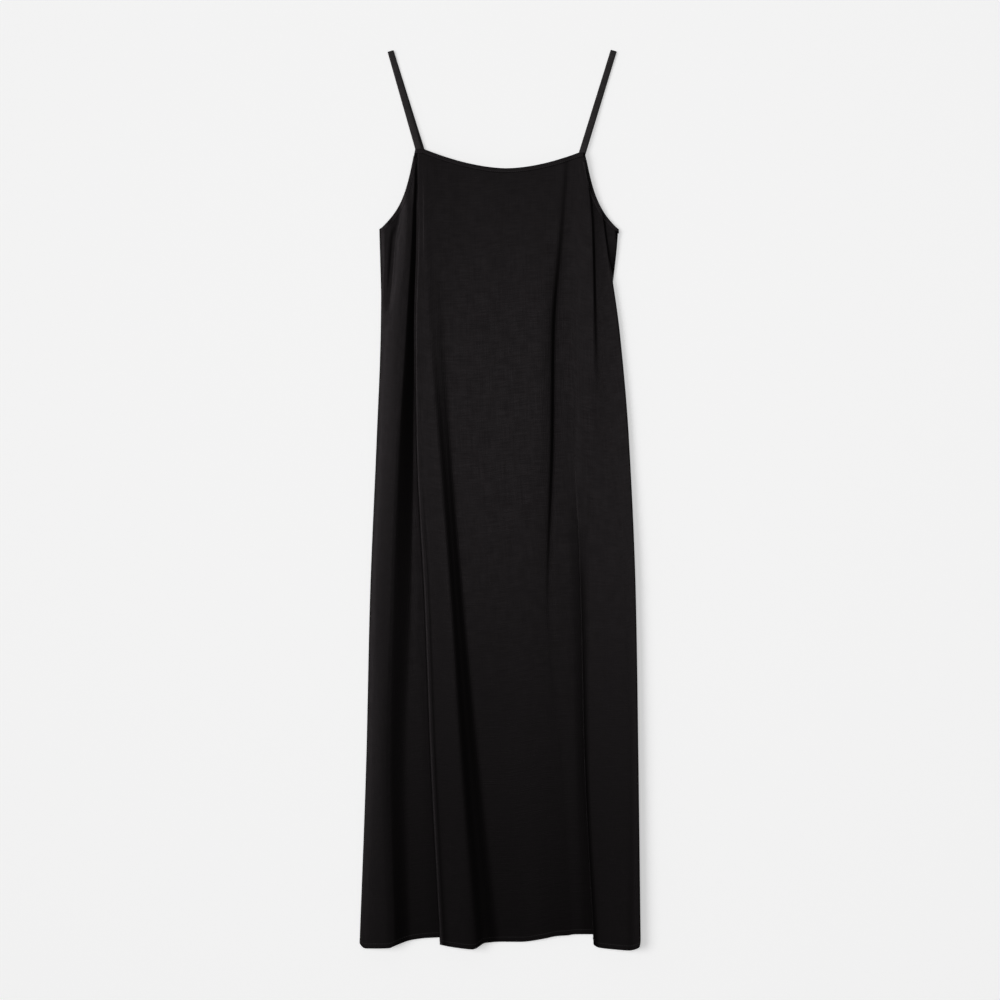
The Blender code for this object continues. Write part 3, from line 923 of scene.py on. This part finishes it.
@dataclass(frozen=True)
class Strap:
    """A narrow strap, sewn into a flat tube and folded in half on the floor.

    It has a sewn base (x, y, z) in the front and in the back, and the middle of its fold (x, y).
    """

    node: str
    front_base: tuple[float, float, float]
    back_base: tuple[float, float, float]
    fold: tuple[float, float]
    width: float = 9.2
    thickness: float = 1.2
    cloth_thickness: float = 0.35
    sewn_length: float = 9.0
    fold_radius: float = 0.9
    front_settle: float = 120.0
    back_settle: float = 34.0
    squareness: tuple[float, float] = (0.55, 0.8)
    leg_stations: int = 60
    fold_stations: int = 8
    ring_points: int = 16

    def leg(self, base: tuple[float, float, float], fold_height: float, settle: float) -> Array:
        """Centre points of one leg, from its sewn end to just short of the fold.

        Args:
            base: Where the leg meets its panel's edge.
            fold_height: The leg's height beside the fold.
            settle: How far from its base the leg comes down to that height.

        Returns:
            The points.
        """
        sewn, fold = np.array(base[:2]), np.array(self.fold)
        along = (fold - sewn) / np.hypot(*(fold - sewn))
        start = sewn - along * self.sewn_length
        end = fold - along * (self.fold_radius + self.thickness / 2)
        places = np.linspace(start, end, self.leg_stations)
        from_base = np.maximum((places - sewn) @ along, 0.0)
        return np.column_stack([places, base[2] + (fold_height - base[2]) * ease(from_base / settle)])

    def direction(self) -> Array:
        """Unit vector from the front base to the fold."""
        along = np.array([*(np.array(self.fold) - np.array(self.front_base[:2])), 0.0])
        return along / np.linalg.norm(along)

    def path(self) -> Array:
        """Centre points of the whole strap: up the front leg, over the fold and down the back leg.

        Returns:
            The points.
        """
        back_height = self.thickness / 2
        front = self.leg(self.front_base, back_height + 2 * self.fold_radius, self.front_settle)
        back = self.leg(self.back_base, back_height, self.back_settle)
        angles = np.linspace(0, math.pi, self.fold_stations + 1)[1:-1, None]
        turn = (front[-1] + back[-1]) / 2 + self.direction() * self.fold_radius * np.sin(angles)
        turn[:, 2:] = back_height + self.fold_radius * (1 + np.cos(angles))
        return np.concatenate([front, turn, back[::-1]])

    def build(self, material: Material) -> Object:
        """Make the strap as one closed tube.

        Args:
            material: The cloth's finish.

        Returns:
            The strap's piece.
        """
        path = self.path()
        along = self.direction()
        across = np.array([-along[1], along[0], 0.0])
        way = np.gradient(path, axis=0)
        up = np.cross(way / np.linalg.norm(way, axis=1, keepdims=True), across)
        angles = np.linspace(2 * math.pi, 0, self.ring_points, endpoint=False)
        flat, thick = (
            np.sign(wave) * np.abs(wave) ** power * size / 2
            for wave, power, size in zip(
                (np.cos(angles), np.sin(angles)), self.squareness, (self.width, self.thickness)
            )
        )
        grid = path[:, None] + flat[:, None] * across + thick[:, None] * up[:, None]
        girth = np.linspace(2 * self.width, 0, self.ring_points + 1)
        cloth = np.stack(np.meshgrid(girth, lengths_along(path)), axis=-1) * MM
        name = self.node.replace("strap", "strap_tube")
        return make_wall(name, grid, cloth, self.cloth_thickness, -1, material, even_corners=False)


STRAPS = (
    Strap("strap_left", (-118.2, 508.6, 6.3), (-112.9, 504.0, 3.8), (-158.6, 650.5)),
    Strap("strap_right", (118.5, 501.8, 5.5), (118.3, 498.0, 3.8), (164.8, 651.0)),
)


@dataclass
class StitchRow:
    """A row of machine stitches along a path, made with Geometry Nodes."""

    name: str
    pitch: float = 3.0
    length: float = 2.4
    radius: float = 0.26
    seed: int = 11

    def tree(self, material: Material) -> NodeTree:
        """Build the node tree that sets a stitch at each pitch of a curve.

        Args:
            material: The thread's finish.

        Returns:
            The node tree.
        """
        tree = bpy.data.node_groups.new(f"{self.name}_nodes", "GeometryNodeTree")
        face = tree.interface
        face.new_socket("Geometry", in_out="INPUT", socket_type="NodeSocketGeometry")
        for label in ("Pitch", "Stitch length", "Thread radius"):
            face.new_socket(label, in_out="INPUT", socket_type="NodeSocketFloat")
        face.new_socket("Geometry", in_out="OUTPUT", socket_type="NodeSocketGeometry")
        given = add_node(tree, "NodeGroupInput").outputs
        run = {"Curve": given["Geometry"], "Length": given["Pitch"]}
        points = add_node(tree, "GeometryNodeCurveToPoints", run, mode="LENGTH").outputs
        stitch = add_node(tree, "GeometryNodeMeshUVSphere", {"Segments": 6, "Rings": 5, "Radius": 1.0})
        half = add_node(tree, "ShaderNodeMath", {0: given["Stitch length"], 1: 0.5}, operation="MULTIPLY")
        thread = given["Thread radius"]
        size = add_node(tree, "ShaderNodeCombineXYZ", {"X": thread, "Y": thread, "Z": half})
        spread = {"Min": (0.9, 0.9, 0.86), "Max": (1.1, 1.1, 1.06), "Seed": self.seed}
        wobble = add_node(tree, "FunctionNodeRandomValue", spread, data_type="FLOAT_VECTOR")
        scale = add_node(tree, "ShaderNodeVectorMath", {0: size, 1: wobble}, operation="MULTIPLY")
        laid = {
            "Points": points["Points"],
            "Instance": stitch,
            "Rotation": points["Rotation"],
            "Scale": scale,
        }
        placed = add_node(tree, "GeometryNodeInstanceOnPoints", laid)
        real = add_node(tree, "GeometryNodeRealizeInstances", {"Geometry": placed})
        smooth = add_node(tree, "GeometryNodeSetShadeSmooth", {"Geometry": real})
        dressed = add_node(tree, "GeometryNodeSetMaterial", {"Geometry": smooth, "Material": material})
        add_node(tree, "NodeGroupOutput", {"Geometry": dressed})
        return tree

    def build(self, paths: list[Array], material: Material) -> Object:
        """Make the row.

        Args:
            paths: Points along each run of stitches.
            material: The thread's finish.

        Returns:
            The stitches as one plain mesh piece.
        """
        curve = bpy.data.curves.new(self.name, "CURVE")
        curve.dimensions = "3D"
        for path in paths:
            spline = curve.splines.new("POLY")
            spline.points.add(len(path) - 1)
            for point, place in zip(spline.points, (path - BOX_MIDDLE) * MM):
                point.co = (*place, 1.0)
        rail = add_object(self.name, curve)
        modifier = rail.modifiers.new("stitches", "NODES")
        modifier.node_group = self.tree(material)
        sizes = {"Pitch": self.pitch, "Stitch length": self.length, "Thread radius": self.radius}
        for item in modifier.node_group.interface.items_tree:
            if item.name in sizes:
                modifier[item.identifier] = sizes[item.name] * MM
        mesh = plain_mesh(rail)
        mesh.name = self.name
        bpy.data.objects.remove(rail)
        return add_object(self.name, mesh)


# --- Studio ---


class Lamp(Enum):
    """The kinds of lamp in the studio."""

    SOFT_BOX = "AREA"
    FAR = "SUN"


@dataclass(frozen=True)
class StudioLight:
    """A soft light: its place and what it faces (m), and its lamp's own settings."""

    name: str
    lamp: Lamp
    place: tuple[float, float, float]
    target: tuple[float, float, float]
    settings: dict[str, Any]

    def build(self) -> None:
        """Hang the light, turned to what it faces."""
        lamp = bpy.data.lights.new(self.name, self.lamp.value)
        for setting, value in self.settings.items():
            setattr(lamp, setting, value)
        holder = add_object(self.name, lamp)
        holder.location = self.place
        aim = Vector(self.target) - Vector(self.place)
        holder.rotation_euler = aim.to_track_quat("-Z", "Y").to_euler()


# The key light is far off to the left and looks 36 degrees wide; the other is a soft box overhead.
LIGHTS = (
    StudioLight("key_left", Lamp.FAR, (-2.15, 0.42, 2.05), (0, 0, 0),
                {"angle": math.radians(36), "energy": 1.5}),
    StudioLight("overhead", Lamp.SOFT_BOX, (-0.1, 0.32, 4.0), (-0.1, 0.32, 0.0),
                {"shape": "RECTANGLE", "size": 2.1, "size_y": 1.3, "energy": 31.0}),
)


@dataclass
class Studio:
    """A pale light table, a key light from the left, a softer one above, and a camera that looks down."""

    table_colour: str = "#E7E7E7"
    table_glow: float = 0.434
    table_half_width: float = 9.0
    camera_height: float = 3.42
    frame_width: float = 1.449
    sensor_mm: float = 36.0
    backdrop_glow: float = 0.9
    room_glow: float = 0.03
    # The pale walls stand low around the table, except to its right: heights and way as parts of 1.
    wall_glow: float = 0.2
    wall_top: tuple[float, float] = (0.42, 0.62)
    dark_side: tuple[float, float] = (0.6, 0.86)

    def build_table(self) -> None:
        """Lay the table top, whose glow makes shadows faint."""
        material, shader = start_material("light_table")
        finish = {
            "Base Color": linear(self.table_colour),
            "Roughness": 0.9,
            "Specular IOR Level": 0.1,
            "Emission Color": (1.0, 1.0, 1.0, 1.0),
            "Emission Strength": self.table_glow,
        }
        set_inputs(shader, finish)
        half = self.table_half_width
        corners = [(-half, -half, 0), (half, -half, 0), (half, half, 0), (-half, half, 0)]
        mesh = bpy.data.meshes.new("floor")
        mesh.from_pydata(corners, [], [(0, 1, 2, 3)])
        add_object("floor", mesh, material)

    def build_world(self) -> None:
        """Set a dim room with pale walls low around the table, which looks pale behind it."""
        world = bpy.data.worlds.new("studio_room")
        bpy.context.scene.world = world
        world.use_nodes = True
        tree = world.node_tree
        seen = add_node(tree, "ShaderNodeLightPath").outputs["Is Camera Ray"]
        way = add_node(tree, "ShaderNodeTexCoord").outputs["Generated"]
        across, _, up = add_node(tree, "ShaderNodeSeparateXYZ", {"Vector": way}).outputs
        fades = []
        for value, (start, end), glow in ((up, self.wall_top, 1.0), (across, self.dark_side, self.wall_glow)):
            fade = {"Value": value, "From Min": start, "From Max": end, "To Min": glow, "To Max": 0.0}
            fades.append(add_node(tree, "ShaderNodeMapRange", fade, interpolation_type="SMOOTHSTEP"))
        room = {0: fades[0], 1: fades[1], 2: self.room_glow}
        dim = add_node(tree, "ShaderNodeMath", room, operation="MULTIPLY_ADD")
        bright = {"Value": seen, "To Min": dim, "To Max": self.backdrop_glow}
        glow = add_node(tree, "ShaderNodeMapRange", bright)
        set_inputs(tree.nodes["Background"], {"Color": (1.0, 1.0, 1.0, 1.0), "Strength": glow})

    def build_camera(self) -> None:
        """Hang the camera over the middle of the plan."""
        camera = bpy.data.cameras.new("camera")
        camera.sensor_width = self.sensor_mm
        camera.lens = self.sensor_mm * self.camera_height / self.frame_width
        holder = add_object("camera", camera)
        holder.location = (-BOX_MIDDLE[0] * MM, -BOX_MIDDLE[1] * MM, self.camera_height)
        bpy.context.scene.camera = holder

    def build(self) -> None:
        """Make the whole studio."""
        self.build_table()
        self.build_world()
        for light in LIGHTS:
            light.build()
        self.build_camera()
        bpy.context.scene.view_settings.view_transform = "Standard"


# --- Dress ---


@dataclass
class SlipDress:
    """The whole dress: two panels, the bands round their edges, two straps and the stitching."""

    front: Panel = field(default_factory=lambda: Panel("front_cloth", FRONT_LINES, False, FRONT_CREASES))
    back: Panel = field(
        default_factory=lambda: Panel(
            "back_cloth", BACK_LINES, True, edge_lift=1.6, hem_step=0.0, column_width=5.0, row_length=8.0
        )
    )
    body: str = "root"
    band_insets: tuple[float, ...] = (1.4, 5.0)
    hem_inset: float = 6.2
    stitch_start: float = 12.0
    path_spacing: float = 1.5

    def add(self, piece: Object, slot: str, *nodes: str) -> Object:
        """Ride a finished piece on the dress.

        Args:
            piece: The piece.
            slot: The record's material slot for it; not used.
            nodes: CAD nodes that the piece stands for.

        Returns:
            The piece.
        """
        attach(piece, self.body)
        if nodes:
            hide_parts(*nodes)
        triangles = sum(len(face.vertices) - 2 for face in piece.data.polygons)
        LOG.info("%s: %d triangles", piece.name, triangles)
        return piece

    def stitch(self, bands: list[Object], thread: Material) -> None:
        """Sew the front's bands down and the hem up.

        Args:
            bands: The front's neck band, then the left and right armhole bands.
            thread: The thread's finish.
        """
        edges = [("neck_stitches", neck_edge(False, self.path_spacing), -1)]
        for side in (LEFT, RIGHT):
            edge = armhole_edge(side, False, self.stitch_start, self.path_spacing)
            edges.append((f"armhole_stitches_{side.name}", edge, -side.sign))
        for band, (name, edge, turn) in zip(bands, edges):
            surface = Surface(band)
            paths = [surface.path_beside(edge, turn, inset) for inset in self.band_insets]
            self.add(StitchRow(name).build(paths, thread), "band_cloth")
        hem = self.front.row_above_hem(self.hem_inset)
        self.add(StitchRow("hem_stitches", pitch=3.4, length=2.6).build([hem], thread), "panel_cloth")

    def build(self) -> None:
        """Make and dress every piece."""
        satin = WovenSatin("black_viscose_satin").make()
        bias = WovenSatin("black_bias_binding", colour="#171415", slub_length_mm=9.0, mottle_mm=8.0).make()
        tube = WovenSatin(
            "black_strap_tube", colour="#272626", slub_colour="#343232", slub_length_mm=8.0, mottle_mm=6.0
        ).make()
        thread = SewingThread("black_sewing_thread").make()

        front = self.add(self.front.build(satin), "panel_cloth", "front_panel")
        back = self.add(self.back.build(satin), "panel_cloth", "back_panel")
        on_front = Surface(front, self.front.thickness)
        on_back = Surface(back, self.back.thickness, Face.DOWN)
        neck_front, neck_back = (
            self.add(
                build_neck_band(EdgeBand(f"neck_binding_{place}"), surface, bias),
                "band_cloth",
                f"neck_band_{place}",
            )
            for surface, place in ((on_front, "front"), (on_back, "back"))
        )
        armholes = [
            self.add(
                build_armhole_band(side, (on_front, on_back), bias), "band_cloth", f"armhole_band_{side.name}"
            )
            for side in (LEFT, RIGHT)
        ]
        straps = [self.add(strap.build(tube), "strap_cloth", strap.node) for strap in STRAPS]
        self.stitch([neck_front, *armholes], thread)

        area = round(self.front.cut_area(), 3)
        area = round(self.back.cut_area(), 3)


def main() -> None:
    """Build the studio and the dress."""
    logging.basicConfig(level=logging.INFO, format="%(name)s: %(message)s")
    Studio().build()
    SlipDress().build()


if __name__ == "__main__":
    main()
